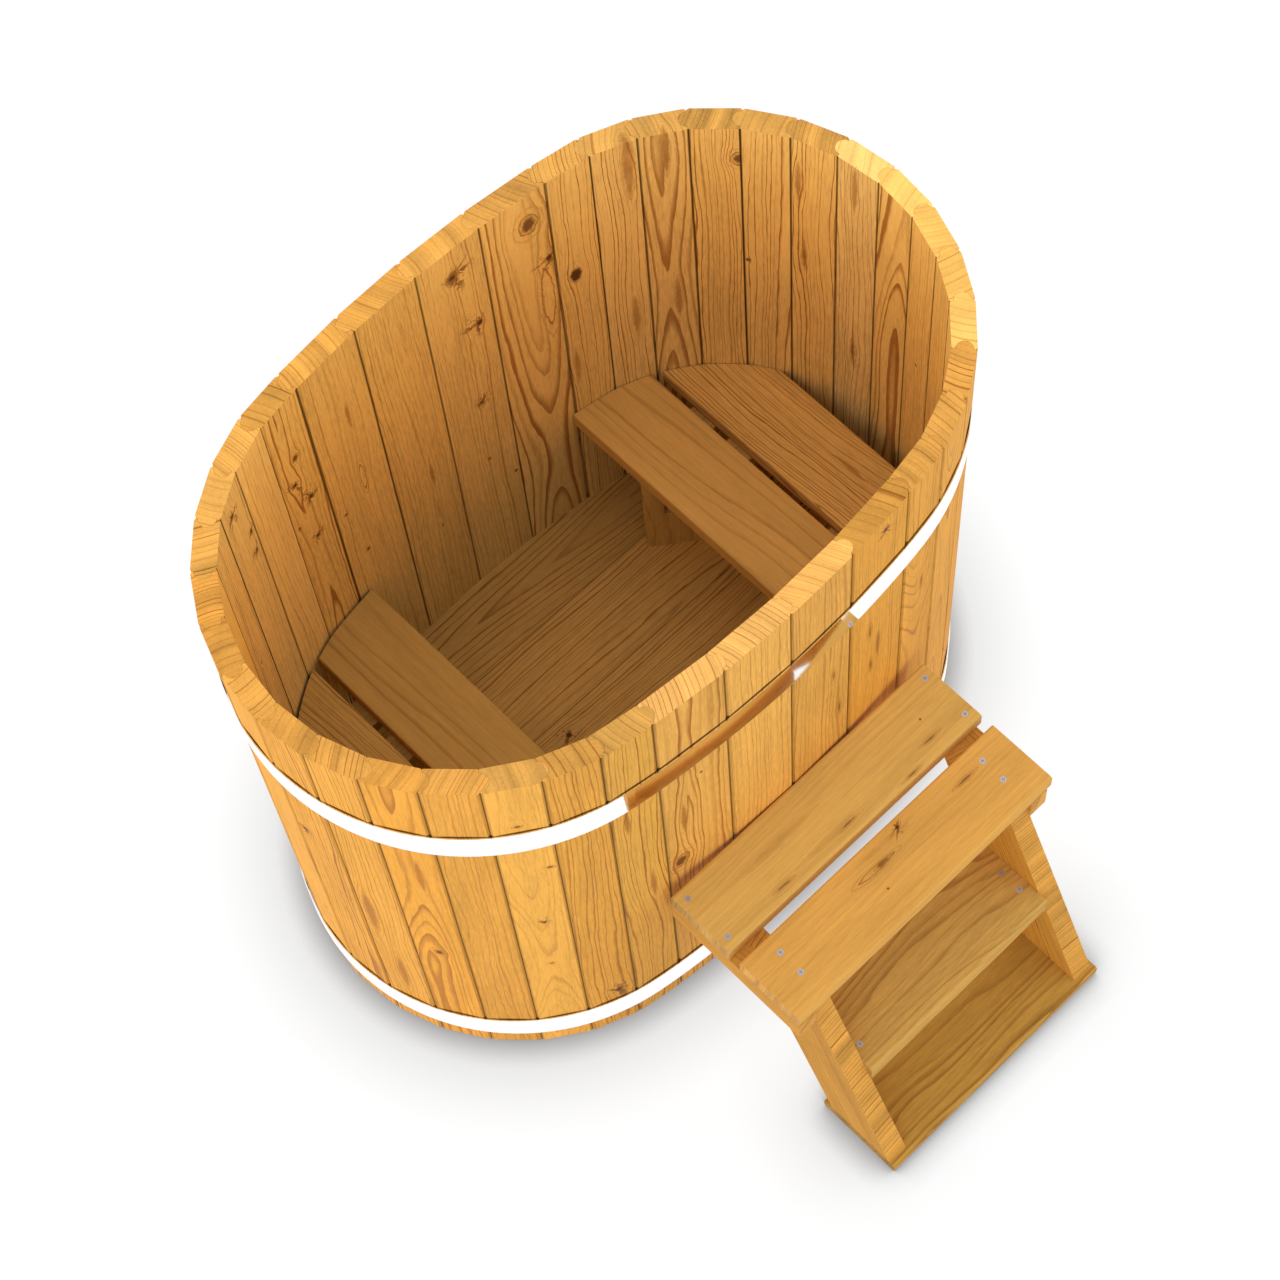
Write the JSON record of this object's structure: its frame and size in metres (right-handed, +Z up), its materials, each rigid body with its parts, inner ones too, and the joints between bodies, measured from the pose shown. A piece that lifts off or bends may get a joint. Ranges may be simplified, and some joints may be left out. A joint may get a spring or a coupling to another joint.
{
  "type": "wooden hot tub",
  "caption": "Oval wooden soaking tub of upright staves in steel hoops, with lift-out benches, floor drain and a leaning step unit.",
  "frame": {"origin": "on the ground at the centre of the tub's oval, under the middle joist", "axes": "+X along the tub's length towards the drain's end, +Y away from the step unit, +Z up"},
  "size_m": [1.4072, 1.4615, 1.2],
  "materials": {
    "larch": "planed and oiled",
    "hoop_steel": "polished stainless steel band",
    "fastener_steel": "zinc-plated",
    "drain_plastic": "moulded",
    "plug_rubber": "moulded"
  },
  "bodies": {
    "tub": {"drain_fitting": "drain_plastic", "floor_boards": "larch", "floor_joists": "larch", "hoop_fasteners": "fastener_steel", "hoop_lower": "hoop_steel", "hoop_upper": "hoop_steel", "stave_far_1": "larch", "stave_far_2": "larch", "stave_far_3": "larch", "stave_far_4": "larch", "stave_left_01": "larch", "stave_left_02": "larch", "stave_left_03": "larch", "stave_left_04": "larch", "stave_left_05": "larch", "stave_left_06": "larch", "stave_left_07": "larch", "stave_left_08": "larch", "stave_left_09": "larch", "stave_left_10": "larch", "stave_left_11": "larch", "stave_left_12": "larch", "stave_left_13": "larch", "stave_left_14": "larch", "stave_near_1": "larch", "stave_near_2": "larch", "stave_near_3": "larch", "stave_near_4": "larch", "stave_right_01": "larch", "stave_right_02": "larch", "stave_right_03": "larch", "stave_right_04": "larch", "stave_right_05": "larch", "stave_right_06": "larch", "stave_right_07": "larch", "stave_right_08": "larch", "stave_right_09": "larch", "stave_right_10": "larch", "stave_right_11": "larch", "stave_right_12": "larch", "stave_right_13": "larch", "stave_right_14": "larch"},
    "bench_left": {"bench_left_cleats": "larch", "bench_left_front_board": "larch", "bench_left_rear_board": "larch", "bench_left_trestles": "larch"},
    "bench_right": {"bench_right_cleats": "larch", "bench_right_front_board": "larch", "bench_right_rear_board": "larch", "bench_right_trestles": "larch"},
    "steps": {"step_base_board": "larch", "step_cleats": "larch", "step_leg_left": "larch", "step_leg_right": "larch", "step_platform_front": "larch", "step_platform_rear": "larch", "step_screws": "fastener_steel", "step_tread": "larch", "step_tread_bearers": "larch"},
    "drain_plug": {"drain_plug": "plug_rubber"}
  },
  "joints": [
    {"name": "bench_left_lift", "type": "slide", "parent": "tub", "child": "bench_left", "axis": [0, 0, 1], "range_m": [0, 1.15]},
    {"name": "bench_right_lift", "type": "slide", "parent": "tub", "child": "bench_right", "axis": [0, 0, 1], "range_m": [0, 1.15]},
    {"name": "steps_pull", "type": "slide", "parent": "tub", "child": "steps", "axis": [0, -1, 0], "range_m": [0, 0.5]},
    {"name": "drain_plug_pull", "type": "slide", "parent": "tub", "child": "drain_plug", "axis": [0, 0, 1], "range_m": [0, 0.2]}
  ]
}
